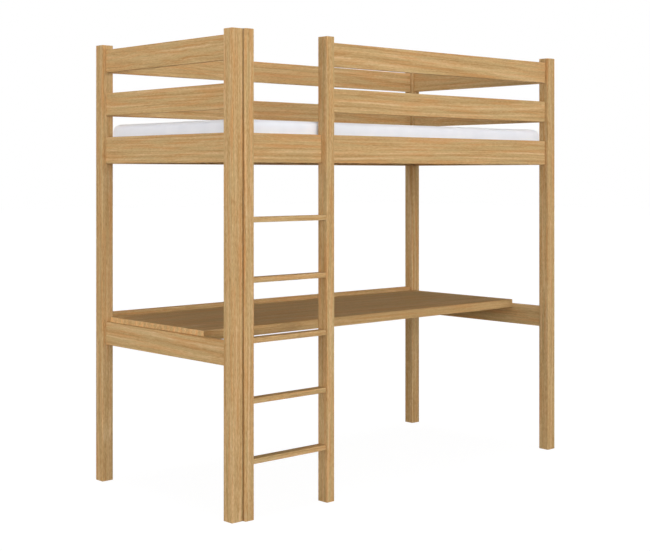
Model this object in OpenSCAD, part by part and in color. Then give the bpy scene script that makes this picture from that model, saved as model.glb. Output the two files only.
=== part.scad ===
// Cabin bed: four corner posts carry a guarded sleeping deck with a ladder at the
// front left and a full-length desktop underneath.
// Origin: on the floor, under the middle of the whole outline, ladder included.
// +X runs along the bed, +Y towards the back, +Z up.

/* [Mattress] */
// Length of the mattress the frame is made for, mm
mattress_l = 2000; // [1900:10:2100]
// Width of the mattress, mm
mattress_w = 900; // [800:10:1200]
// Height of the mattress at its edge, mm
mattress_h = 130; // [100:2:160]
// Extra height of the mattress at its middle, mm
mattress_crown = 4; // [1:1:8]
// Radius of the mattress's upright corners, mm
mattress_corner = 30; // [26:1:50]
// Radius of the mattress's upper edges, mm
mattress_edge = 28; // [20:1:40]
// Radius of the mattress's lower edges, mm
mattress_foot = 14; // [8:1:24]
// Hollow of the mattress's sides at mid height, mm
mattress_draw = 2; // [0:0.5:4]
// Space between the mattress and each end rail, mm
end_gap = 9; // [6:1:16]
// Space between the mattress and each side rail, mm
side_gap = 14; // [12:1:20]

/* [Posts] */
// Side of the square posts, mm
post_t = 57; // [54:1:62]
// Radius on the long arrises of posts and ladder stiles, mm
post_round = 4; // [1:0.5:6]

/* [Rails] */
// Thickness of every rail, mm
rail_t = 22; // [20:1:26]
// Distance that the posts stand in past the rails' inner faces, mm
post_reveal = 16; // [13:1:18]
// Radius on the long arrises of rails, rungs and cleats, mm
rail_round = 2.5; // [1:0.5:4]
// Height of each guard rail, mm
guard_h = 104; // [90:1:115]
// Gap between the bed rails and the middle guard rails, mm
guard_low_gap = 97; // [75:1:98]
// Gap between the middle and the top guard rails, mm
guard_gap = 95; // [75:1:98]
// Height of the post tops above the top guard rails, mm
post_over = 21; // [10:1:40]
// Height of the bed rails, mm
bed_rail_h = 122; // [110:1:135]
// Height of the bed rails' underside above the floor, mm
bed_rail_z = 1452; // [1440:2:1600]

/* [Desk] */
// Height of the desktop's surface above the floor, mm
desk_top = 749; // [735:1:770]
// Thickness of the desktop, mm
desk_t = 42; // [36:1:46]
// Set-back of the desktop's front edge from the posts' front faces, mm
desk_set = 244; // [200:2:320]
// Space between the desktop and each end rail, mm
desk_gap = 0.5; // [0.3:0.1:1]
// Radius on the desktop's long edges, mm
desk_round = 3; // [1:0.5:5]
// Height of the desk end rails, mm
desk_rail_h = 103; // [90:1:110]
// Height that the desktop stands above the desk end rails, mm
desk_over = 22; // [16:1:28]
// Height of the desk's back rail, mm
back_rail_h = 103; // [95:1:115]
// Rise of the back rail above the desktop's surface, mm
back_rise = 21; // [14:1:30]

/* [Ladder] */
// Width of the ladder stiles, mm
stile_w = 44; // [38:1:50]
// Projection of the stiles in front of the posts, mm
stile_proud = 17; // [12:1:24]
// Clear width between the stiles, mm
ladder_w = 401; // [350:1:450]
// Step from the top of one rung to the next, and from the floor to the first, mm
rung_pitch = 246; // [220:1:270]
// Thickness of the rungs, mm
rung_t = 22; // [18:1:30]
// Set-back of the rungs from the stiles' faces, mm
rung_inset = 7; // [4:1:10]
// Length of each rung tenon, mm
tenon_l = 15; // [10:1:18]
// Width of the shoulder round each rung tenon, mm
shoulder = 5; // [3:0.5:6]

/* [Bed base] */
// Side of the square cleats under the slats, mm
bed_cleat = 24; // [20:1:28]
// Height of the bed cleats above the bed rails' underside, mm
bed_cleat_up = 4; // [2:1:8]
// Width of a slat, mm
slat_w = 80; // [60:2:95]
// Thickness of a slat, mm
slat_t = 18; // [14:1:22]
// Space between the ends of a slat and the side rails, mm
slat_gap = 2; // [1:0.5:4]
// Space between the posts and the first slat, mm
slat_start = 3; // [2:1:10]

/* [Desk cleats] */
// Width of the cleats under the desktop, mm
desk_cleat_w = 20; // [18:1:26]
// Height of the cleats under the desktop, mm
desk_cleat_h = 18; // [15:1:22]
// Set-back of the end cleats from the desktop's front edge, mm
desk_cleat_set = 96; // [60:2:140]
// Distance from the rear posts to the back cleat's ends, mm
desk_cleat_in = 53; // [40:1:80]

/* [Fixings] */
// Diameter of the wooden dowels, mm
dowel_d = 10; // [8:1:10]
// Depth of the dowels in a rail's end, mm
dowel_in = 20; // [15:1:30]
// Distance from a rail's edge to its dowel, mm
dowel_edge = 22; // [18:1:26]
// Wood left between crossing dowels in a post, mm
dowel_web = 2; // [1:0.5:3]
// Distance from the posts' ends to the outer dowels between post and ladder, mm
side_dowel_end = 200; // [150:10:260]
// Diameter of the connecting bolts, mm
bolt_d = 6; // [5:1:7]
// Diameter of the cam locks, mm
cam_d = 15; // [12:1:18]
// Depth of the cam locks, mm
cam_h = 13; // [11:1:16]
// Distance from a rail's end to its cam lock, mm
cam_in = 24; // [20:1:34]
// Diameter of the wood screws, mm
screw_d = 4; // [3.5:0.5:5]
// Diameter of the countersunk screw heads, mm
head_d = 8; // [7:0.5:9]
// Depth of wood that a screw bites beyond the piece it holds, mm
screw_bite = 14; // [10:1:16]
// Share of the wood behind the bed rail that the ladder screws reach into
stile_bite = 0.7; // [0.5:0.05:0.8]
// Distance from the ends of the desk cleats to their first screw, mm
cleat_screw_in = 45; // [35:1:60]
// Working clearance round dowels, tenons, bolts and screws, mm
fit = 0.1; // [0.05:0.05:0.2]
// Clearance of the laps where the ladder stiles house the bed rail, mm
lap_gap = 0.2; // [0.1:0.1:0.5]

/* [Hidden] */
$fn = 32;
eps = 1;
slats = 13;
rail_in = post_t - post_reveal;
rail_set = rail_in - rail_t;
rail_mid = rail_set + rail_t / 2;
bed_l = mattress_l + 2 * (end_gap + rail_in);
bed_w = mattress_w + 2 * (side_gap + rail_in);
dowel_seat = post_t - rail_mid - dowel_d / 2 - dowel_web;
guard_mid_z = bed_rail_z + bed_rail_h + guard_low_gap;
guard_top_z = guard_mid_z + guard_h + guard_gap;
post_h = guard_top_z + guard_h + post_over;
desk_rail_z = desk_top - desk_over - desk_rail_h;
back_rail_z = desk_top + back_rise - back_rail_h;
stile_d = stile_proud + rail_in;
stile_left_x = post_t;
stile_right_x = post_t + stile_w + ladder_w;
rung_d = stile_d - 2 * rung_inset;
bed_cleat_z = bed_rail_z + bed_cleat_up;
slat_z = bed_cleat_z + bed_cleat;
mattress_z = slat_z + slat_t;
slat_first = post_t + slat_start;
slat_pitch = (bed_l - 2 * slat_first - slat_w) / (slats - 1);
desk_under = desk_top - desk_t;
desk_cleat_y0 = desk_set + desk_cleat_set;
desk_cleat_y1 = bed_w - post_t - fit;
desk_cleat_x0 = post_t + desk_cleat_in;
desk_screw_x = desk_cleat_x0 + cleat_screw_in;
side_dowel_y = rail_in / 2;
side_dowel_step = (post_h - 2 * side_dowel_end) / 3;

// Rail levels that meet a post or stile, each as [underside height, rail height]
guard_levels = [[guard_top_z, guard_h], [guard_mid_z, guard_h]];
bed_level = [[bed_rail_z, bed_rail_h]];
back_level = [[back_rail_z, back_rail_h]];
end_levels = concat(guard_levels, bed_level, [[desk_rail_z, desk_rail_h]]);

wood_a = [0.79, 0.65, 0.45];
wood_b = [0.73, 0.59, 0.40];
wood_c = [0.85, 0.75, 0.58];
cloth = [0.95, 0.95, 0.96];
steel = [0.66, 0.67, 0.68];

// ---- basic shapes ----

// Rectangle with quarter-round corners
module round_rect(w, h, r) {
  translate([r, 0]) square([w - 2 * r, h]);
  translate([0, r]) square([w, h - 2 * r]);
  for (x = [r, w - r], y = [r, h - r]) translate([x, y]) circle(r);
}

// Boards with rounded long arrises, running along X, Y or Z from their lowest corner
module board_x(p, l, t, h, r) {
  translate(p) rotate([90, 0, 90]) linear_extrude(l) round_rect(t, h, r);
}
module board_y(p, l, t, h, r) {
  translate(p + [0, l, 0]) rotate([90, 0, 0]) linear_extrude(l) round_rect(t, h, r);
}
module board_z(p, l, t, h, r) {
  translate(p) linear_extrude(l) round_rect(t, h, r);
}

// Round pins along X, Y and Z
module pin_x(x0, x1, y, z, d) {
  translate([x0, y, z]) rotate([0, 90, 0]) cylinder(h = x1 - x0, d = d);
}
module pin_y(y0, y1, x, z, d) {
  translate([x, y0, z]) rotate([-90, 0, 0]) cylinder(h = y1 - y0, d = d);
}
module pin_z(z0, z1, x, y, d) {
  translate([x, y, z0]) cylinder(h = z1 - z0, d = d);
}

// Countersunk wood screw of length l; its head's face lies at the origin and it points down
module screw(l, grow = 0) {
  translate([0, 0, -l - grow]) cylinder(h = l + grow, d = screw_d + 2 * grow);
  translate([0, 0, -(head_d - screw_d) / 2])
    cylinder(h = (head_d - screw_d) / 2, d1 = screw_d + 2 * grow, d2 = head_d + 2 * grow);
}
module at(p, turn = [0, 0, 0]) {
  translate(p) rotate(turn) children();
}

// ---- rail joints ----

// Both dowels of each rail level at the plane x, the rail lying on the given side
module dowels_x(x, side, y, levels, grow = 0) {
  a = x - (side > 0 ? dowel_seat : dowel_in) - grow;
  b = x + (side > 0 ? dowel_in : dowel_seat) + grow;
  for (v = levels, s = [-1, 1])
    pin_x(a, b, y, v[0] + v[1] / 2 + s * (v[1] / 2 - dowel_edge), dowel_d + 2 * grow);
}
module dowels_y(y, side, x, levels, grow = 0) {
  a = y - (side > 0 ? dowel_seat : dowel_in) - grow;
  b = y + (side > 0 ? dowel_in : dowel_seat) + grow;
  for (v = levels, s = [-1, 1])
    pin_y(a, b, x, v[0] + v[1] / 2 + s * (v[1] / 2 - dowel_edge), dowel_d + 2 * grow);
}
// Connecting bolt at mid height of each level
module bolts_x(x, side, y, levels, grow = 0) {
  a = x - (side > 0 ? dowel_seat : cam_in) - grow;
  b = x + (side > 0 ? cam_in : dowel_seat) + grow;
  for (v = levels) pin_x(a, b, y, v[0] + v[1] / 2, bolt_d + 2 * grow);
}
// Cam locks let into the inner face of the side rails; rear = 0 at the front, 1 at the back
module cams_x(x, side, rear, levels, grow = 0) {
  y0 = rear ? bed_w - rail_in - grow : rail_in - cam_h - grow;
  for (v = levels)
    pin_y(y0, y0 + cam_h + 2 * grow, x + side * cam_in, v[0] + v[1] / 2, cam_d + 2 * grow);
}
// Dowels between the front left post and the ladder
module side_dowels(grow = 0) {
  for (i = [0:3])
    pin_x(post_t - dowel_seat - grow, post_t + dowel_in + grow, side_dowel_y,
      side_dowel_end + i * side_dowel_step, dowel_d + 2 * grow);
}
function side_mid(rear) = rear ? bed_w - rail_mid : rail_mid;
function end_mid(right) = right ? bed_l - rail_mid : rail_mid;

// ---- posts ----

module post(right, rear) {
  side = right ? -1 : 1;
  back = rear ? -1 : 1;
  xf = right ? bed_l - post_t : post_t;
  yf = rear ? bed_w - post_t : post_t;
  levels = rear ? concat(guard_levels, bed_level, back_level)
    : right ? concat(guard_levels, bed_level) : bed_level;
  color(wood_a) difference() {
    board_z([right ? bed_l - post_t : 0, rear ? bed_w - post_t : 0, 0], post_h, post_t, post_t,
      post_round);
    dowels_x(xf, side, side_mid(rear), levels, fit);
    bolts_x(xf, side, side_mid(rear), levels, fit);
    dowels_y(yf, back, end_mid(right), end_levels, fit);
    if (!right && !rear) side_dowels(fit);
  }
}

// ---- rails ----

// Side rail between the planes x0 and x1; its ends carry dowels, bolts and cam locks
module side_rail(x0, x1, rear, level) {
  y = rear ? bed_w - rail_in : rail_set;
  difference() {
    board_x([x0, y, level[0]], x1 - x0, rail_t, level[1], rail_round);
    for (e = [[x0, 1], [x1, -1]]) {
      dowels_x(e[0], e[1], side_mid(rear), [level], fit);
      bolts_x(e[0], e[1], side_mid(rear), [level], fit);
      cams_x(e[0], e[1], rear, [level], fit);
    }
  }
}
// End rail between the posts; its ends carry glued dowels
module end_rail(right, level) {
  x = right ? bed_l - rail_in : rail_set;
  difference() {
    board_y([x, post_t, level[0]], bed_w - 2 * post_t, rail_t, level[1], rail_round);
    dowels_y(post_t, 1, end_mid(right), [level], fit);
    dowels_y(bed_w - post_t, -1, end_mid(right), [level], fit);
  }
}

module guard_front(level) {
  color(wood_a) side_rail(stile_right_x + stile_w, bed_l - post_t, 0, level);
}
module guard_rear(level) {
  color(wood_b) side_rail(post_t, bed_l - post_t, 1, level);
}
module guard_end(right, level) {
  color(wood_b) end_rail(right, level);
}
module bed_rail_side(rear) {
  color(wood_a) difference() {
    side_rail(post_t, bed_l - post_t, rear, bed_level[0]);
    bed_cleat_screws(rear, fit);
    if (!rear) stile_screws(fit);
  }
}
module bed_rail_end(right) {
  color(wood_a) end_rail(right, bed_level[0]);
}
module desk_rail_end(right) {
  color(wood_a) difference() {
    end_rail(right, [desk_rail_z, desk_rail_h]);
    desk_cleat_screws_end(right, fit);
  }
}
module desk_rail_rear() {
  color(wood_b) difference() {
    side_rail(post_t, bed_l - post_t, 1, back_level[0]);
    desk_cleat_screws_rear(fit);
  }
}

// ---- ladder ----

module rung_tenon(x0, i, grow = 0) {
  w = rung_d - 2 * shoulder + 2 * grow;
  h = rung_t - 2 * shoulder + 2 * grow;
  translate([x0 - grow, -stile_proud + rung_inset + shoulder - grow,
      i * rung_pitch - rung_t + shoulder - grow])
    cube([tenon_l + 2 * grow, w, h]);
}
module stile(right) {
  x = right ? stile_right_x : stile_left_x;
  color(wood_a) difference() {
    board_z([x, -stile_proud, 0], post_h, stile_w, stile_d, post_round);
    translate([x - eps, rail_set - lap_gap, bed_rail_z - lap_gap])
      cube([stile_w + 2 * eps, rail_t + lap_gap + eps, bed_rail_h + 2 * lap_gap]);
    for (i = [1:5]) rung_tenon(right ? x : x + stile_w - tenon_l, i, fit);
    stile_screws(fit);
    if (right) {
      dowels_x(x + stile_w, 1, rail_mid, guard_levels, fit);
      bolts_x(x + stile_w, 1, rail_mid, guard_levels, fit);
    }
    if (!right) side_dowels(fit);
  }
}
module rung(i) {
  color(wood_c) union() {
    board_x([stile_left_x + stile_w, -stile_proud + rung_inset, i * rung_pitch - rung_t],
      ladder_w, rung_d, rung_t, rail_round);
    rung_tenon(stile_left_x + stile_w - tenon_l, i);
    rung_tenon(stile_right_x, i);
  }
}

// ---- desk ----

module desktop() {
  notch = post_t + desk_gap;
  color(wood_c) difference() {
    board_x([rail_in + desk_gap, desk_set, desk_under], bed_l - 2 * (rail_in + desk_gap),
      bed_w - rail_in - desk_set, desk_t, desk_round);
    for (x = [-eps, bed_l - notch])
      translate([x, bed_w - notch, desk_under - eps]) cube([notch + eps, notch, desk_t + 2 * eps]);
    desk_top_screws(fit);
  }
}
module desk_cleat_end(right) {
  x = right ? bed_l - rail_in - desk_cleat_w : rail_in;
  color(wood_b) difference() {
    board_y([x, desk_cleat_y0, desk_under - desk_cleat_h], desk_cleat_y1 - desk_cleat_y0,
      desk_cleat_w, desk_cleat_h, rail_round);
    desk_cleat_screws_end(right, fit);
    desk_top_screws(fit);
  }
}
module desk_cleat_rear() {
  color(wood_b) difference() {
    board_x([desk_cleat_x0, bed_w - rail_in - desk_cleat_w, desk_under - desk_cleat_h],
      bed_l - 2 * desk_cleat_x0, desk_cleat_w, desk_cleat_h, rail_round);
    desk_cleat_screws_rear(fit);
    desk_top_screws(fit);
  }
}

// ---- bed base ----

module bed_cleat_side(rear) {
  color(wood_b) difference() {
    board_x([slat_first, rear ? bed_w - rail_in - bed_cleat : rail_in, bed_cleat_z],
      bed_l - 2 * slat_first, bed_cleat, bed_cleat, rail_round);
    bed_cleat_screws(rear, fit);
    for (i = [1:slats]) slat_screws_of(i, fit);
  }
}
module slat(i) {
  color(wood_c) difference() {
    board_y([slat_first + (i - 1) * slat_pitch, rail_in + slat_gap, slat_z],
      bed_w - 2 * (rail_in + slat_gap), slat_w, slat_t, rail_round);
    slat_screws_of(i, fit);
  }
}

// ---- screws ----

// Screws through the side rail into each ladder stile, from inside the bed
module stile_screws(grow = 0) {
  mid_z = bed_rail_z + bed_rail_h / 2;
  step_z = (bed_rail_h / 2 - dowel_edge) / 2;
  for (x = [stile_left_x, stile_right_x], s = [-1, 1])
    at([x + stile_w / 2, rail_in, mid_z + s * step_z], [-90, 0, 0])
      screw(rail_t + stile_bite * (stile_proud + rail_set), grow);
}
// Screws through the bed cleats into the side rails, between the slats
module bed_cleat_screws(rear, grow = 0) {
  y = rear ? bed_w - rail_in - bed_cleat : rail_in + bed_cleat;
  for (i = [1:2:slats - 1])
    at([slat_first + slat_w / 2 + (i - 0.5) * slat_pitch, y, bed_cleat_z + bed_cleat / 2],
      [rear ? 90 : -90, 0, 0]) screw(bed_cleat + screw_bite, grow);
}
// One screw at each end of slat number i
module slat_screws_of(i, grow = 0) {
  for (y = [rail_in + bed_cleat / 2, bed_w - rail_in - bed_cleat / 2])
    at([slat_first + slat_w / 2 + (i - 1) * slat_pitch, y, slat_z + slat_t])
      screw(slat_t + screw_bite, grow);
}
// Screws through the desk cleats into the rails
module desk_cleat_screws_end(right, grow = 0) {
  x = right ? bed_l - rail_in - desk_cleat_w : rail_in + desk_cleat_w;
  step_y = (desk_cleat_y1 - desk_cleat_y0 - 2 * cleat_screw_in) / 2;
  for (i = [0:2])
    at([x, desk_cleat_y0 + cleat_screw_in + i * step_y, desk_under - desk_cleat_h / 2],
      [0, right ? -90 : 90, 0])
      screw(desk_cleat_w + screw_bite, grow);
}
module desk_cleat_screws_rear(grow = 0) {
  for (i = [0:4])
    at([desk_screw_x + i * (bed_l - 2 * desk_screw_x) / 4,
        bed_w - rail_in - desk_cleat_w, desk_under - desk_cleat_h / 2], [90, 0, 0])
      screw(desk_cleat_w + screw_bite, grow);
}
// Screws up through the cleats into the desktop
module desk_top_screws(grow = 0) {
  step_y = (desk_cleat_y1 - desk_cleat_y0 - 2 * cleat_screw_in) / 2;
  step_x = (bed_l - 2 * desk_screw_x) / 4;
  for (x = [rail_in + desk_cleat_w / 2, bed_l - rail_in - desk_cleat_w / 2], i = [0, 1])
    at([x, desk_cleat_y0 + cleat_screw_in + (i + 0.5) * step_y, desk_under - desk_cleat_h],
      [180, 0, 0]) screw(desk_cleat_h + screw_bite, grow);
  for (i = [0:3])
    at([desk_screw_x + (i + 0.5) * step_x, bed_w - rail_in - desk_cleat_w / 2,
        desk_under - desk_cleat_h], [180, 0, 0]) screw(desk_cleat_h + screw_bite, grow);
}

// ---- grouped fixings ----

module dowels() {
  color(wood_c) {
    for (rear = [0, 1]) {
      dowels_x(bed_l - post_t, -1, side_mid(rear), concat(guard_levels, bed_level));
      dowels_x(rear ? post_t : stile_right_x + stile_w, 1, side_mid(rear), guard_levels);
      dowels_x(post_t, 1, side_mid(rear), bed_level);
    }
    for (e = [[post_t, 1], [bed_l - post_t, -1]]) dowels_x(e[0], e[1], side_mid(1), back_level);
    for (right = [0, 1]) {
      dowels_y(post_t, 1, end_mid(right), end_levels);
      dowels_y(bed_w - post_t, -1, end_mid(right), end_levels);
    }
    side_dowels();
  }
}
// Every place where a side rail is bolted, as [plane x, rail side, rear, levels]
function bolted() = [
  [bed_l - post_t, -1, 0, concat(guard_levels, bed_level)],
  [stile_right_x + stile_w, 1, 0, guard_levels],
  [post_t, 1, 0, bed_level],
  [bed_l - post_t, -1, 1, concat(guard_levels, bed_level, back_level)],
  [post_t, 1, 1, concat(guard_levels, bed_level, back_level)]
];
module joint_bolts() {
  color(steel) for (b = bolted()) bolts_x(b[0], b[1], side_mid(b[2]), b[3]);
}
module joint_cams() {
  color(steel) difference() {
    for (b = bolted()) cams_x(b[0], b[1], b[2], b[3]);
    for (b = bolted()) bolts_x(b[0], b[1], side_mid(b[2]), b[3], fit);
  }
}
module ladder_screws() {
  color(steel) stile_screws();
}
module cleat_screws() {
  color(steel) for (rear = [0, 1]) bed_cleat_screws(rear);
}
module slat_screws() {
  color(steel) for (i = [1:slats]) slat_screws_of(i);
}
module desk_screws() {
  color(steel) {
    for (right = [0, 1]) desk_cleat_screws_end(right);
    desk_cleat_screws_rear();
    desk_top_screws();
  }
}

// ---- mattress ----

corner_steps = 5;
edge_steps = 4;
// Quarter circle of the mattress outline
function quarter(c, r, a) = [
  for (i = [0:corner_steps]) c + r * [cos(a + 90 * i / corner_steps), sin(a + 90 * i / corner_steps)]
];
// Mattress outline drawn in by k all round
function outline(k) = let (
    r = max(mattress_corner - k, mattress_corner / 6),
    x0 = rail_in + end_gap + k + r,
    x1 = bed_l - rail_in - end_gap - k - r,
    y0 = rail_in + side_gap + k + r,
    y1 = bed_w - rail_in - side_gap - k - r
  ) concat(
    quarter([x1, y1], r, 0), quarter([x0, y1], r, 90),
    quarter([x0, y0], r, 180), quarter([x1, y0], r, 270)
  );
// Rings from the underside to the crown, as [draw-in, height]
crown_in = 0.42 * mattress_w;
mattress_rings = concat(
  [for (i = [0:edge_steps]) let (a = 90 * i / edge_steps)
    [mattress_foot * (1 - sin(a)), mattress_foot * (1 - cos(a))]],
  [[mattress_draw, mattress_h / 2]],
  [for (i = [0:edge_steps]) let (a = 90 * i / edge_steps)
    [mattress_edge * (1 - cos(a)), mattress_h - mattress_edge * (1 - sin(a))]],
  [for (s = [0.2, 0.5, 1]) [
    mattress_edge + s * (crown_in - mattress_edge),
    mattress_h + mattress_crown * (1 - (1 - s) * (1 - s))
  ]]
);
module mattress() {
  n = 4 * (corner_steps + 1);
  m = len(mattress_rings);
  pts = [for (g = mattress_rings, p = outline(g[0])) [p[0], p[1], mattress_z + g[1]]];
  sides = [for (i = [0:m - 2], j = [0:n - 1]) let (
      a = i * n + j,
      b = i * n + (j + 1) % n
    ) each [[a, a + n, b + n], [a, b + n, b]]];
  under = [for (j = [1:n - 2]) [0, j, j + 1]];
  over = [for (j = [1:n - 2]) [(m - 1) * n, (m - 1) * n + j + 1, (m - 1) * n + j]];
  color(cloth) polyhedron(points = pts, faces = concat(sides, under, over));
}

// ---- assembly ----

translate([-bed_l / 2, -(bed_w - stile_proud) / 2, 0]) {
  post(0, 0);  // post_front_left
  post(1, 0);  // post_front_right
  post(0, 1);  // post_rear_left
  post(1, 1);  // post_rear_right
  stile(0);  // stile_left
  stile(1);  // stile_right
  rung(1);  // rung_1
  rung(2);  // rung_2
  rung(3);  // rung_3
  rung(4);  // rung_4
  rung(5);  // rung_5
  guard_front(guard_levels[0]);  // guard_front_top
  guard_front(guard_levels[1]);  // guard_front_mid
  guard_rear(guard_levels[0]);  // guard_rear_top
  guard_rear(guard_levels[1]);  // guard_rear_mid
  guard_end(0, guard_levels[0]);  // guard_left_top
  guard_end(0, guard_levels[1]);  // guard_left_mid
  guard_end(1, guard_levels[0]);  // guard_right_top
  guard_end(1, guard_levels[1]);  // guard_right_mid
  bed_rail_side(0);  // bed_rail_front
  bed_rail_side(1);  // bed_rail_rear
  bed_rail_end(0);  // bed_rail_left
  bed_rail_end(1);  // bed_rail_right
  desk_rail_end(0);  // desk_rail_left
  desk_rail_end(1);  // desk_rail_right
  desk_rail_rear();
  desktop();
  desk_cleat_end(0);  // desk_cleat_left
  desk_cleat_end(1);  // desk_cleat_right
  desk_cleat_rear();
  bed_cleat_side(0);  // bed_cleat_front
  bed_cleat_side(1);  // bed_cleat_rear
  slat(1);  // slat_01
  slat(2);  // slat_02
  slat(3);  // slat_03
  slat(4);  // slat_04
  slat(5);  // slat_05
  slat(6);  // slat_06
  slat(7);  // slat_07
  slat(8);  // slat_08
  slat(9);  // slat_09
  slat(10);  // slat_10
  slat(11);  // slat_11
  slat(12);  // slat_12
  slat(13);  // slat_13
  mattress();
  dowels();
  joint_bolts();
  joint_cams();
  ladder_screws();
  cleat_screws();
  slat_screws();
  desk_screws();
}
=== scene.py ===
import bpy
import math
import random
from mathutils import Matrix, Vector


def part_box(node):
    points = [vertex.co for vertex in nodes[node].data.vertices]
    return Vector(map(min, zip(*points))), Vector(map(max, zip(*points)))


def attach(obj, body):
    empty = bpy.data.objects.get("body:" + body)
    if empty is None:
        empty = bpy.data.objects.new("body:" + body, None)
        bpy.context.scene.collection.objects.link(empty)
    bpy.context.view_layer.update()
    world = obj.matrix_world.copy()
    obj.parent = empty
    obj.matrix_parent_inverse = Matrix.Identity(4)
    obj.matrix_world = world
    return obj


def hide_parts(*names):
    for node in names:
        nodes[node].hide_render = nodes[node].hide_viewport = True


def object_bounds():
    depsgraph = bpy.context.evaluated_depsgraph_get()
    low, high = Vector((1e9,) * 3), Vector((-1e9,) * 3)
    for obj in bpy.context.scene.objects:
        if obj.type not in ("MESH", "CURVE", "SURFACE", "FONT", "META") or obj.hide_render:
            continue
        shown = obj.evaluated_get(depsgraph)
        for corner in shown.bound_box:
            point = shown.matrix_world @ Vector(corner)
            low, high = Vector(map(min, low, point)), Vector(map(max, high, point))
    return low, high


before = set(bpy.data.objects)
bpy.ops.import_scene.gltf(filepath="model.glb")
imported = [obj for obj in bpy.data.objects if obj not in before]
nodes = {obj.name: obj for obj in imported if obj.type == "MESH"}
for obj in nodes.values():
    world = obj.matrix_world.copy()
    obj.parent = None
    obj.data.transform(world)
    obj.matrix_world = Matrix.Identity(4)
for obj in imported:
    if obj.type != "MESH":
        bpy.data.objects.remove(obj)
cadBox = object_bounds()
print("frame loaded,", len(nodes), "nodes")


# camera: held level at eye height; its shift looks lower without tilting the posts
camera = {
    "place": (-4.2443, -4.5503, 1.4048),  # m
    "turn": 42.39,     # degrees from +Y towards +X
    "lens": 70.94,     # mm
    "sensor": 36,      # mm, width of the film
    "shiftY": -0.156,  # share of the film's width
    "farthest": 200,   # m, past the corners of the floor
}


def addCamera():
    data = bpy.data.cameras.new("camera")
    data.lens = camera["lens"]
    data.sensor_width = camera["sensor"]
    data.sensor_fit = "HORIZONTAL"
    data.shift_y = camera["shiftY"]
    data.clip_end = camera["farthest"]
    cam = bpy.data.objects.new("camera", data)
    bpy.context.scene.collection.objects.link(cam)
    cam.location = camera["place"]
    cam.rotation_euler = (math.radians(90), 0, math.radians(-camera["turn"]))
    bpy.context.scene.camera = cam


addCamera()
bpy.context.scene.view_settings.view_transform = "Standard"
print("camera set")


# materials

def linear(code):
    # a colour written as sRGB hex, as the linear numbers that shaders take
    rgb = [int(code[i:i + 2], 16) / 255 for i in (1, 3, 5)]
    return tuple(c / 12.92 if c <= 0.04045 else ((c + 0.055) / 1.055) ** 2.4 for c in rgb) + (1,)


def grey(level):
    return (level, level, level, 1)


def newMaterial(name):
    mat = bpy.data.materials.new(name)
    mat.use_nodes = True
    mat.node_tree.nodes.clear()
    return mat


def setStops(band, stops):
    # places on a colour ramp, each with a hex colour or a plain number for a grey
    marks = band.elements
    while len(marks) < len(stops):
        marks.new(0.5)
    for mark, (place, colour) in zip(marks, stops):
        mark.position = place
        mark.color = linear(colour) if isinstance(colour, str) else grey(colour)


def add(tree, kind, settings=None, links=None):
    # one node with its settings (ramp stops, properties or input values) and its incoming links
    node = tree.nodes.new("ShaderNode" + kind)
    for key, value in (settings or {}).items():
        if key == "stops":
            setStops(node.color_ramp, value)
        elif isinstance(key, str) and hasattr(node, key):
            setattr(node, key, value)
        else:
            node.inputs[key].default_value = value
    for key, source in (links or {}).items():
        tree.links.new(source, node.inputs[key])
    return node


wood = {
    "dark": "#B28856",         # latewood and shaded streaks under the lacquer
    "mid": "#CDA874",          # warm tan of the sawn face
    "light": "#E4C497",        # pale early wood
    "blush": "#D29A61",        # orange patches
    "moss": "#C3AA79",         # greyish patches
    "poreStain": "#8A6638",    # brown in the pores
    "endGrain": "#B9935F",     # cut ends drink more lacquer
    "edge": "#DDBF92",         # lacquer rubbed thinner on the arrises
    "paintedShade": "#6E4F30",        # painted shade in inner corners and along the joint between post and ladder
    "contrast": 0.20,          # how far from 0.5 the tone runs to full dark or full light
    "bandShare": 0.36,         # how much of the tone the groups of growth rings make
    "streakShare": 0.60,       # the same for the long streaks
    "fleckShare": 0.52,        # and for the short pale and dark dashes
    "blushShare": 0.55,        # from 0 to 1, how strongly the orange patches show
    "mossShare": 0.42,         # the greyish patches
    "ringShare": 0.12,         # the latewood line of each ring
    "poreShare": 0.25,         # the pores
    "endShare": 0.55,          # the darker cut ends
    "edgeShare": 0.35,         # the rubbed arrises
    "cornerShadeShare": 0.22,       # the painted shade where boards meet
    "jointShadeShare": 0.90,        # the line of painted shade at the joint between post and ladder
    "growthBand": 0.010,       # m, groups of growth rings that read from a few metres
    "ring": 0.0042,            # m, one growth ring
    "pith": (0.05, 0.14),      # m, nearest and farthest that the heart of the tree lay from a board
    "taper": 0.02,             # how fast the heart of the tree falls away along a board
    "streak": (0.50, 0.0085),  # m, length and width of a tone streak
    "fleck": (0.020, 0.0036),  # m, length and width of a short dash
    "patch": (0.30, 0.016),    # m, length and width of an orange or grey patch
    "pore": (0.012, 0.0005),   # m, length and width of a pore
    "driftSize": (0.9, 0.16),  # m, length and width of the slow bends of the grain
    "drift": 0.028,            # m, the span of those bends
    "waveSize": (0.13, 0.05),  # m, length and width of its short waves
    "wave": 0.003,             # m, the span of those waves
    "arris": 0.0035,           # m, width of the rubbed edge
    "corner": 0.007,           # m, how far the painted shade reaches from where boards meet
    "joint": None,             # m, X and Y of the upright joint between post and ladder, drawn as a line of painted shade
    "jointReach": 0.0036,      # m, how far that line reaches to either side
    "relief": 0.0003,          # m, between the pores and the latewood, drawn deeper than real to show
    "reliefShare": 0.25,       # how much of that relief the lacquer leaves
    "rough": (0.55, 0.72),     # roughness of the dark streaks and of the light ones
    "gloss": 0.01,             # the lacquer is dead matt
    "tone": 1,                 # lighter or darker than the other boards, as painted light and shade
}
slatWood = dict(wood, dark="#BE9C68", mid="#D3B684", light="#E2CBA2",
                blushShare=0.2, mossShare=0.2, cornerShadeShare=0)
railWood = dict(wood, streak=(0.50, 0.0070), fleckShare=0.36, contrast=0.23)
flatSawn = dict(railWood, wave=0.012, growthBand=0.014)  # rails cut with the rings lying flat

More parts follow.
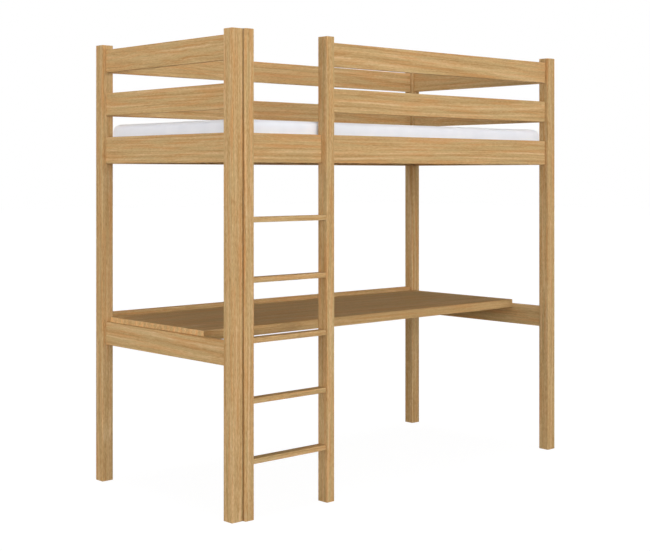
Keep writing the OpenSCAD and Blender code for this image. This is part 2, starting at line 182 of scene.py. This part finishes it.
desktopStaves = {
    "width": 0.0403,           # m, 18 staves across the desktop
    "jump": (7, 0.3, 0.3),     # m, how far apart in the log neighbouring staves were cut, at most
    "faceTone": (0.97, 1.03),  # darkest and lightest stave on the face
    "endTone": (1.03, 1.17),   # and at the cut ends
    "seam": 0.0012,            # m, width of the glue line
    "seamShare": 0.30,         # from 0 to 1, how strongly it shows
    "glue": "#8F6C3F",
}


def grainNoise(t, at, size, shift, detail):
    # noise drawn out along the grain, which runs along the first axis
    length, width = size
    space = add(t, "Mapping", {
        "vector_type": "TEXTURE",
        "Location": (shift, 0, 0),
        "Scale": (length, width, width),
    }, {0: at})
    return add(t, "TexNoise", {"Scale": 1, "Detail": detail, "Roughness": 0.55}, {"Vector": space.outputs[0]})


def swayed(t, at, size, shift, span):
    # moves a place across the grain, by up to half a span to either side
    noise = grainNoise(t, at, size, shift, detail=1)
    centred = add(t, "VectorMath", {"operation": "SUBTRACT", 1: (0.5, 0.5, 0.5)}, {0: noise.outputs["Color"]})
    step = add(t, "VectorMath", {"operation": "MULTIPLY", 1: (0, span, span)}, {0: centred.outputs[0]})
    return add(t, "VectorMath", {"operation": "ADD"}, {0: at, 1: step.outputs[0]}).outputs[0]


def stain(t, colour, where, share, over):
    # lays a colour over another by a share, where a pattern is 1
    amount = add(t, "Math", {"operation": "MULTIPLY", 1: share}, {0: where})
    return add(t, "Mix", {"data_type": "RGBA", 7: linear(over)}, {0: amount.outputs[0], 6: colour}).outputs[2]


def boardSpace(t, spot, along, centre, start):
    # places on a board: first along the grain, then across it from the board's middle
    order = {"X": "XYZ", "Y": "YXZ", "Z": "ZXY"}[along]
    axes = add(t, "SeparateXYZ", links={0: spot.outputs["Object"]})
    turned = add(t, "CombineXYZ", links={i: axes.outputs[a] for i, a in enumerate(order)})
    middle = [centre["XYZ".index(a)] for a in order]
    return add(t, "Mapping", {"Location": (start, -middle[1], -middle[2])}, {0: turned.outputs[0]}).outputs[0]


def splitStaves(t, at, width):
    # gives each stave random numbers of its own, and says how far across it a place is
    cross = add(t, "SeparateXYZ", links={0: at})
    count = add(t, "Math", {"operation": "DIVIDE", 1: width}, {0: cross.outputs[1]})
    index = add(t, "Math", {"operation": "FLOOR"}, {0: count.outputs[0]})
    inside = add(t, "Math", {"operation": "FRACT"}, {0: count.outputs[0]})
    own = add(t, "TexWhiteNoise", {"noise_dimensions": "1D"}, {"W": index.outputs[0]})
    return own, inside.outputs[0]


def growthRings(t, at, rng, look):
    # distance from a pith outside the board, and the latewood, which darkens slowly and ends sharply
    turn = rng.uniform(0, 2 * math.pi)
    away = rng.uniform(*look["pith"])
    pith = add(t, "Mapping", {
        "Location": (0, away * math.cos(turn), away * math.sin(turn)),
        "Scale": (look["taper"], 1, 1),
    }, {0: at})
    depth = add(t, "VectorMath", {"operation": "LENGTH"}, {0: pith.outputs[0]}).outputs["Value"]
    count = add(t, "Math", {"operation": "DIVIDE", 1: look["ring"]}, {0: depth})
    ring = add(t, "Math", {"operation": "FRACT"}, {0: count.outputs[0]})
    stops = [(0.0, 0.0), (0.7, 0.25), (0.93, 1.0), (1.0, 0.0)]
    return depth, add(t, "ValToRGB", {"stops": stops}, {0: ring.outputs[0]}).outputs[0]


def woodTone(t, at, depth, streak, look):
    # dark to pale round a mean of 0.5, from groups of growth rings, long streaks and short flecks
    band = add(t, "TexNoise", {
        "noise_dimensions": "1D",
        "Scale": 1 / look["growthBand"],
        "Detail": 2,
    }, {"W": depth})
    fleck = grainNoise(t, at, look["fleck"], shift=2, detail=1)
    level = 0.5 - (look["bandShare"] + look["streakShare"] + look["fleckShare"]) / 2
    tone = add(t, "Math", {"operation": "MULTIPLY_ADD", 1: look["bandShare"], 2: level},
               {0: band.outputs["Fac"]})
    for noise, share in ((streak, look["streakShare"]), (fleck, look["fleckShare"])):
        links = {0: noise.outputs["Fac"], 2: tone.outputs[0]}
        tone = add(t, "Math", {"operation": "MULTIPLY_ADD", 1: share}, links)
    half = look["contrast"]
    stops = [(0.5 - half, look["dark"]), (0.5, look["mid"]), (0.5 + half, look["light"])]
    return add(t, "ValToRGB", {"stops": stops}, {0: tone.outputs[0]}).outputs[0]


def colourPatches(t, at, look):
    # where the wood turns orange, and where greyish
    patch = grainNoise(t, at, look["patch"], shift=3, detail=2).outputs["Fac"]
    warm = add(t, "ValToRGB", {"stops": [(0.50, 0.0), (0.66, 1.0)]}, {0: patch})
    cool = add(t, "ValToRGB", {"stops": [(0.34, 1.0), (0.50, 0.0)]}, {0: patch})
    return warm.outputs[0], cool.outputs[0]


def pores(t, at, look):
    speck = grainNoise(t, at, look["pore"], shift=1, detail=1)
    return add(t, "ValToRGB", {"stops": [(0.56, 0.0), (0.68, 1.0)]}, {0: speck.outputs["Fac"]}).outputs[0]


def cutEnds(t, spot, along):
    # the faces that were sawn across the grain
    facing = add(t, "SeparateXYZ", links={0: spot.outputs["Normal"]})
    across = add(t, "Math", {"operation": "ABSOLUTE"}, {0: facing.outputs[along]})
    return add(t, "ValToRGB", {"stops": [(0.7, 0.0), (0.9, 1.0)]}, {0: across.outputs[0]}).outputs[0]


def shadeStaves(t, colour, own, inside, cut, staves):
    # each stave has its own tone, which shows most at its cut end, darker on the heart side
    face, end = [add(t, "MapRange", {"To Min": low, "To Max": high}, {0: own.outputs["Value"]})
                 for low, high in (staves["faceTone"], staves["endTone"])]
    stops = [(0.0, 1.0), (0.40, 1.0), (0.52, 0.88), (1.0, 0.91)]
    heart = add(t, "ValToRGB", {"stops": stops}, {0: inside})
    end = add(t, "Math", {"operation": "MULTIPLY"}, {0: end.outputs[0], 1: heart.outputs[0]})
    shade = add(t, "Mix", {"data_type": "FLOAT"}, {0: cut, 2: face.outputs[0], 3: end.outputs[0]})
    colour = add(t, "Mix", {"data_type": "RGBA", "blend_type": "MULTIPLY", "Factor": 1},
                 {6: colour, 7: shade.outputs[0]}).outputs[2]
    seam = add(t, "Math", {"operation": "LESS_THAN", 1: staves["seam"] / staves["width"]}, {0: inside})
    return stain(t, colour, seam.outputs[0], staves["seamShare"], staves["glue"])


def rubbedArris(t, look):
    # the edges, where a rounded surface and the true one face different ways
    soft = add(t, "Bevel", {"samples": 6, "Radius": look["arris"]})
    flat = add(t, "NewGeometry")
    agree = add(t, "VectorMath", {"operation": "DOT_PRODUCT"},
                {0: soft.outputs[0], 1: flat.outputs["Normal"]}).outputs["Value"]
    return add(t, "ValToRGB", {"stops": [(0.80, 1.0), (0.98, 0.0)]}, {0: agree}).outputs[0]


def paintedCornerShade(t, look):
    # painted shade in the inner corners where boards meet, darker the more closed in a spot is
    openness = add(t, "AmbientOcclusion", {"samples": 8, "Distance": look["corner"]}).outputs["AO"]
    return add(t, "ValToRGB", {"stops": [(0.10, 1.0), (0.85, 0.0)]}, {0: openness}).outputs[0]


def paintedJointShade(t, spot, look):
    # painted shade: an upright dark line at the joint between post and ladder, darkest in the joint itself
    upright = add(t, "VectorMath", {"operation": "MULTIPLY", 1: (1, 1, 0)}, {0: spot.outputs["Object"]})
    away = add(t, "VectorMath", {"operation": "DISTANCE", 1: look["joint"] + (0,)}, {0: upright.outputs[0]})
    share = add(t, "Math", {"operation": "DIVIDE", 1: look["jointReach"]}, {0: away.outputs["Value"]})
    stops = [(0.0, 1.0), (0.45, 0.8), (1.0, 0.0)]
    return add(t, "ValToRGB", {"stops": stops}, {0: share.outputs[0]}).outputs[0]


def lacquer(t, colour, streak, late, pore, look):
    # matt lacquer that follows the grain: the latewood stands proud of the pores
    rise = add(t, "Math", {"operation": "SUBTRACT"}, {0: late, 1: pore})
    bump = add(t, "Bump", {"Strength": look["reliefShare"], "Distance": look["relief"]},
               {"Height": rise.outputs[0]})
    low, high = look["rough"]
    rough = add(t, "MapRange", {"To Min": low, "To Max": high}, {0: streak.outputs["Fac"]})
    shader = add(t, "BsdfPrincipled", {"IOR": 1.5, "Specular IOR Level": look["gloss"]}, {
        "Base Color": colour,
        "Roughness": rough.outputs[0],
        "Normal": bump.outputs[0],
    })
    add(t, "OutputMaterial", links={0: shader.outputs[0]})


def woodMaterial(name, along, centre, seed, look, staves=None):
    # lacquered solid wood, planed and sanded: fine straight grain, short flecks, warm patches
    rng = random.Random(seed)
    mat = newMaterial(name)
    t = mat.node_tree
    spot = add(t, "TexCoord")
    at = boardSpace(t, spot, along, centre, start=rng.uniform(0, 9))
    if staves:
        own, inside = splitStaves(t, at, staves["width"])
        jump = add(t, "VectorMath", {"operation": "MULTIPLY", 1: staves["jump"]}, {0: own.outputs["Color"]})
        at = add(t, "VectorMath", {"operation": "ADD"}, {0: at, 1: jump.outputs[0]}).outputs[0]
    at = swayed(t, at, look["driftSize"], shift=0, span=look["drift"])
    at = swayed(t, at, look["waveSize"], shift=5, span=look["wave"])
    depth, late = growthRings(t, at, rng, look)
    streak = grainNoise(t, at, look["streak"], shift=0, detail=3)
    pore = pores(t, at, look)
    warm, cool = colourPatches(t, at, look)
    colour = woodTone(t, at, depth, streak, look)
    colour = stain(t, colour, warm, look["blushShare"], look["blush"])
    colour = stain(t, colour, cool, look["mossShare"], look["moss"])
    colour = stain(t, colour, late, look["ringShare"], look["dark"])
    colour = stain(t, colour, pore, look["poreShare"], look["poreStain"])
    cut = cutEnds(t, spot, along)
    if staves:
        colour = shadeStaves(t, colour, own, inside, cut, staves)
    else:
        colour = stain(t, colour, cut, look["endShare"], look["endGrain"])
    colour = stain(t, colour, rubbedArris(t, look), look["edgeShare"], look["edge"])
    # painted shade: the colour darkens in inner corners where boards meet
    if look["cornerShadeShare"]:
        colour = stain(t, colour, paintedCornerShade(t, look), look["cornerShadeShare"], look["paintedShade"])
    # painted shade along the joint between post and ladder
    if look["joint"]:
        colour = stain(t, colour, paintedJointShade(t, spot, look), look["jointShadeShare"], look["paintedShade"])
    # painted light and shade: the whole board made lighter or darker
    if look["tone"] != 1:
        colour = add(t, "Mix", {
            "data_type": "RGBA",
            "blend_type": "MULTIPLY",
            "Factor": 1,
            7: grey(look["tone"]),
        }, {6: colour}).outputs[2]
    lacquer(t, colour, streak, late, pore, look)
    return mat


zinc = {
    "dark": "#A3A6A9",
    "light": "#C3C6C8",
    "haze": 700,           # marks a metre, drawn coarser than the real ones so that they show close by
    "rough": (0.28, 0.42),
}


def steelMaterial(name):
    # zinc-plated steel, machine made: bright blue-grey with a fine brushed haze
    mat = newMaterial(name)
    t = mat.node_tree
    spot = add(t, "TexCoord")
    haze = add(t, "TexNoise", {"Scale": zinc["haze"], "Detail": 2}, {"Vector": spot.outputs["Object"]})
    stops = [(0.3, zinc["dark"]), (0.7, zinc["light"])]
    colour = add(t, "ValToRGB", {"stops": stops}, {0: haze.outputs["Fac"]})
    low, high = zinc["rough"]
    rough = add(t, "MapRange", {"To Min": low, "To Max": high}, {0: haze.outputs["Fac"]})
    shader = add(t, "BsdfPrincipled", {"Metallic": 1}, {
        "Base Color": colour.outputs[0],
        "Roughness": rough.outputs[0],
    })
    add(t, "OutputMaterial", links={0: shader.outputs[0]})
    return mat


foilCap = {
    "dark": "#BF965F",
    "light": "#D0AA76",
    "grain": (0.02, 0.001),  # m, length and width of a printed streak
    "rough": (0.5, 0.6),
    "gloss": 0.1,
}


def capMaterial(name):
    # foil caps stuck over the cams: printed in the wood's colour, matt, with fine printed grain
    mat = newMaterial(name)
    t = mat.node_tree
    spot = add(t, "TexCoord")
    grain = grainNoise(t, spot.outputs["Object"], foilCap["grain"], shift=0, detail=2)
    stops = [(0.3, foilCap["dark"]), (0.7, foilCap["light"])]
    colour = add(t, "ValToRGB", {"stops": stops}, {0: grain.outputs["Fac"]})
    low, high = foilCap["rough"]
    rough = add(t, "MapRange", {"To Min": low, "To Max": high}, {0: grain.outputs["Fac"]})
    shader = add(t, "BsdfPrincipled", {"Specular IOR Level": foilCap["gloss"]}, {
        "Base Color": colour.outputs[0],
        "Roughness": rough.outputs[0],
    })
    add(t, "OutputMaterial", links={0: shader.outputs[0]})
    return mat


steelNodes = ["joint_bolts", "ladder_screws", "cleat_screws", "slat_screws", "desk_screws"]
boards = {
    "flatSawn": ["desk_rail_left", "desk_rail_right", "guard_left_top", "guard_right_mid"],
    "noCornerShade": ["desktop", "desk_rail_left"],   # no painted shade where these meet the others
    "shadedJointPair": ["post_front_left", "stile_left"],  # the ladder's joint with the post gets a line of painted shade
    # painted light and shade: the back and right-hand boards darkened and the desktop lightened, for how the
    # light falls on them
    "lightAndShadeTones": {
        "desk_rail_rear": 0.80,
        "post_rear_left": 0.92,
        "post_rear_right": 0.86,
        "post_front_right": 0.94,
        "desktop": 1.06,
    },
    "firstSeed": 11,  # each board's grain has a seed of its own, counted up from here
}


def dress(name, mat):
    node = nodes[name]
    node.data.materials.clear()
    node.data.materials.append(mat)


def boardLook(name, along):
    if name.startswith("slat"):
        look = slatWood
    elif along == "Z":
        look = wood
    elif name in boards["flatSawn"]:
        look = flatSawn
    else:
        look = railWood
    look = dict(look, tone=boards["lightAndShadeTones"].get(name, 1))
    if name in boards["shadedJointPair"]:
        low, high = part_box("post_front_left")
        look["joint"] = (high.x, low.y)
    if name in boards["noCornerShade"]:
        look["cornerShadeShare"] = 0
    return look


def dressFrame():
    steel = steelMaterial("zincPlatedSteel")
    for name in steelNodes:
        dress(name, steel)
    dress("joint_cams", capMaterial("printedFoilCap"))
    otherNodes = steelNodes + ["joint_cams", "mattress"]
    wooden = sorted(name for name in nodes if name not in otherNodes)
    for seed, name in enumerate(wooden, start=boards["firstSeed"]):
        low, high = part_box(name)
        size = high - low
        along = "XYZ"[max(range(3), key=lambda i: size[i])]
        staves = desktopStaves if name == "desktop" else None
        look = boardLook(name, along)
        dress(name, woodMaterial("lacqueredWood_" + name, along, (low + high) / 2, seed, look, staves))


dressFrame()
print("wood and steel dressed")


# mattress: foam block in a plain white cover

mattress = {
    "lap": (0.002, 0.007, -0.001),  # m, cover past the foam at ends, sides and top, before it swells
    "corner": (0.025, 4),    # m and steps, rounding of the upright corners
    "topEdge": (0.026, 4),   # m and steps
    "footEdge": (0.012, 3),  # m and steps
    "voxel": 0.010,          # m, size of the cover's faces
    "pressure": 3.0,         # inside the cover, in the solver's own measure
    "frames": 16,            # steps that the cover swells for
    "held": 0.011,           # m, height up to which the slats hold the cover still
    "cap": 0.003,            # m, farthest that the cover may swell
    "smooth": 2,             # passes over the swelled cover
    "sole": 0.002,           # m, height up to which the underside is pressed flat
    "fill": 0.95,            # from 0, slack, to 1, tight
}


def deselect():
    bpy.ops.object.select_all(action="DESELECT")


def applyAll(obj):
    bpy.context.view_layer.objects.active = obj
    for mod in list(obj.modifiers):
        bpy.ops.object.modifier_apply(modifier=mod.name)


def roundEdges(obj, rounding, test):
    # bevels the edges whose two ends pass a test
    bpy.ops.object.mode_set(mode="EDIT")
    bpy.ops.mesh.select_mode(type="EDGE")
    bpy.ops.mesh.select_all(action="DESELECT")
    bpy.ops.object.mode_set(mode="OBJECT")
    verts = obj.data.vertices
    for edge in obj.data.edges:
        edge.select = test(verts[edge.vertices[0]].co, verts[edge.vertices[1]].co)
    radius, steps = rounding
    bpy.ops.object.mode_set(mode="EDIT")
    bpy.ops.mesh.bevel(offset=radius, segments=steps)
    bpy.ops.object.mode_set(mode="OBJECT")


def makeMattress():
    low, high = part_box("mattress")
    ends, sides, top = mattress["lap"]
    low = low - Vector((ends, sides, 0))
    high = high + Vector((ends, sides, top))
    deselect()
    bpy.ops.mesh.primitive_cube_add(size=1, location=(low + high) / 2)
    pad = bpy.context.object
    pad.name = pad.data.name = "mattressPad"
    pad.scale = high - low
    bpy.ops.object.transform_apply(location=True, rotation=True, scale=True)
    middle = (low.z + high.z) / 2
    near = 0.001  # m, within which a point counts as lying on a face
    roundEdges(pad, mattress["corner"], lambda a, b: (a.z > middle) != (b.z > middle))
    roundEdges(pad, mattress["topEdge"], lambda a, b: min(a.z, b.z) > high.z - near)
    roundEdges(pad, mattress["footEdge"], lambda a, b: max(a.z, b.z) < low.z + near)
    remesh = pad.modifiers.new("remesh", "REMESH")
    remesh.mode = "VOXEL"
    remesh.voxel_size = mattress["voxel"]
    applyAll(pad)
    swell(pad, low.z + mattress["held"])
    smooth = pad.modifiers.new("smooth", "SMOOTH")
    smooth.iterations = mattress["smooth"]
    applyAll(pad)
    for v in pad.data.vertices:
        if v.co.z < low.z + mattress["sole"]:
            v.co.z = low.z
    deselect()
    pad.select_set(True)
    bpy.ops.object.shade_smooth()
    return pad


def swell(pad, heldBelow):
    # the cover fills out under a little pressure, held still where it lies on the slats
    rest = [v.co.copy() for v in pad.data.vertices]
    held = pad.vertex_groups.new(name="held")
    held.add([v.index for v in pad.data.vertices if v.co.z < heldBelow], 1, "REPLACE")
    cloth = pad.modifiers.new("cloth", "CLOTH")
    cloth.settings.vertex_group_mass = "held"
    cloth.settings.use_pressure = True
    cloth.settings.uniform_pressure_force = mattress["pressure"]
    cloth.settings.effector_weights.gravity = 0
    cloth.point_cache.frame_end = mattress["frames"]
    scene = bpy.context.scene
    for step in range(1, mattress["frames"] + 1):
        scene.frame_set(step)
    applyAll(pad)
    scene.frame_set(1)
    pad.vertex_groups.clear()
    for v, start in zip(pad.data.vertices, rest):
        move = v.co - start
        if move.length > mattress["cap"]:
            v.co = start + move.normalized() * mattress["cap"]


cover = {
    "shade": "#EDF0F7",
    "light": "#F3F5FB",
    "stitch": 0.0025,    # m apart, drawn coarser than the real 1 mm so that they still show
    "slack": 9,          # gentle waves a metre
    "slackShare": 0.75,  # how much of the relief they make, the stitches making the rest
    "relief": 0.003,     # m
    "reliefShare": 0.12,
}


def coverMaterial():
    # knitted polyester ticking, white: matt, slightly cool, with a fine ribbed knit
    mat = newMaterial("knittedTickingWhite")
    t = mat.node_tree
    place = add(t, "TexCoord").outputs["Object"]
    knit = add(t, "TexVoronoi", {"Scale": 1 / cover["stitch"], "Randomness": 0.35}, {"Vector": place})
    slack = add(t, "TexNoise", {"Scale": cover["slack"], "Detail": 3}, {"Vector": place})
    stops = [(0.35, cover["shade"]), (0.65, cover["light"])]
    colour = add(t, "ValToRGB", {"stops": stops}, {0: slack.outputs["Fac"]})
    rise = add(t, "Mix", {"data_type": "FLOAT", "Factor": cover["slackShare"]},
               {2: knit.outputs["Distance"], 3: slack.outputs["Fac"]})
    bump = add(t, "Bump", {"Strength": cover["reliefShare"], "Distance": cover["relief"]},
               {"Height": rise.outputs[0]})
    shader = add(t, "BsdfPrincipled", {
        "Roughness": 0.85,
        "Sheen Weight": 0.15,
        "Sheen Roughness": 0.5,
        "Specular IOR Level": 0.2,
    }, {"Base Color": colour.outputs[0], "Normal": bump.outputs[0]})
    add(t, "OutputMaterial", links={0: shader.outputs[0]})
    return mat


pad = makeMattress()
pad.data.materials.append(coverMaterial())
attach(pad, "mattress")
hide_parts("mattress")
print("mattress made,", len(pad.data.polygons), "faces")


# stage: white floor, far patches of light round the bed and overhead, and a large lamp on the left

studio = {
    "all": 0.04,          # light from everywhere
    "floor": 0.34,        # how much of the light on it the floor throws back at the bed
    "floorSeen": 0.10,    # the same in the picture, so that shadows stay faint
    "floorGlow": 0.96,    # what makes the floor white in the picture
    "floorSize": 80,      # m
    "floorDrop": 0.0005,  # m below the feet, so that their faces don't meet
    "patches": [          # strength, degrees from the front to the left, degrees up, and tightness
        (10.50, 0, 0, 20),
        (4.20, 45, 0, 20),
        (0.50, 45, 40, 12),
        (60.00, 180, -20, 20),  # low, so only the upper rims of these two clear the floor
        (60.00, 270, -20, 20),
        (9.50, 0, 90, 60),
    ],
    "sideLamp": {"power": 1480, "away": 13, "radius": 4.5},  # W, m from the left posts, m
}


def seenDirectly(t):
    # 1 for what the camera sees, also in metal or through glass, and 0 for light that falls on the bed
    path = add(t, "LightPath")
    seen = path.outputs["Is Camera Ray"]
    for ray in ("Is Glossy Ray", "Is Transmission Ray"):
        seen = add(t, "Math", {"operation": "MAXIMUM"}, {0: seen, 1: path.outputs[ray]}).outputs[0]
    return seen


def floorMaterial():
    # floor painted matt white: glows in the picture and keeps the bed's shadow
    mat = newMaterial("paintedFloorWhite")
    t = mat.node_tree
    plain = add(t, "BsdfDiffuse", {"Color": grey(studio["floor"])})
    faint = add(t, "BsdfDiffuse", {"Color": grey(studio["floorSeen"])})
    glow = add(t, "Emission", {"Strength": studio["floorGlow"]})
    white = add(t, "AddShader", links={0: faint.outputs[0], 1: glow.outputs[0]})
    pick = add(t, "MixShader", links={0: seenDirectly(t), 1: plain.outputs[0], 2: white.outputs[0]})
    add(t, "OutputMaterial", links={0: pick.outputs[0]})
    return mat


def addFloor():
    deselect()
    bpy.ops.mesh.primitive_plane_add(size=studio["floorSize"], location=(0, 0, -studio["floorDrop"]))
    floor = bpy.context.object
    floor.name = "floor"
    bpy.ops.object.transform_apply(location=True, rotation=True, scale=True)
    floor.data.materials.append(floorMaterial())


def patchLight(t, spot, turn, height, tightness):
    # a round patch of light infinitely far away, 1 at its middle
    turn = math.radians(turn)
    height = math.radians(height)
    flat = math.cos(height)
    toward = (-math.sin(turn) * flat, -math.cos(turn) * flat, math.sin(height))
    facing = add(t, "VectorMath", {"operation": "DOT_PRODUCT", 1: toward}, {0: spot.outputs["Generated"]})
    front = add(t, "Math", {"operation": "MAXIMUM", 1: 0}, {0: facing.outputs["Value"]})
    return add(t, "Math", {"operation": "POWER", 1: tightness}, {0: front.outputs[0]}).outputs[0]


def addWorld():
    world = bpy.data.worlds.new("studio")
    bpy.context.scene.world = world
    world.use_nodes = True
    t = world.node_tree
    t.nodes.clear()
    spot = add(t, "TexCoord")
    total = add(t, "Value")
    total.outputs[0].default_value = studio["all"]
    for strength, turn, height, tightness in studio["patches"]:
        links = {0: patchLight(t, spot, turn, height, tightness), 2: total.outputs[0]}
        total = add(t, "Math", {"operation": "MULTIPLY_ADD", 1: strength}, links)
    level = add(t, "Mix", {"data_type": "FLOAT", 3: 1}, {0: seenDirectly(t), 2: total.outputs[0]})
    back = add(t, "Background", {"Color": grey(1)}, {"Strength": level.outputs[0]})
    add(t, "OutputWorld", links={0: back.outputs[0]})


def addSideLamp():
    # big round softbox on the left, near enough for its light to weaken along the bed
    look = studio["sideLamp"]
    data = bpy.data.lights.new("sideLamp", "AREA")
    data.shape = "DISK"
    data.size = 2 * look["radius"]
    data.energy = look["power"]
    lamp = bpy.data.objects.new("sideLamp", data)
    bpy.context.scene.collection.objects.link(lamp)
    lamp.location = (cadBox[0][0] - look["away"], 0, 0)
    lamp.rotation_euler = (0, math.radians(-90), 0)
    lamp.visible_camera = False


addFloor()
addWorld()
addSideLamp()
print("stage set")
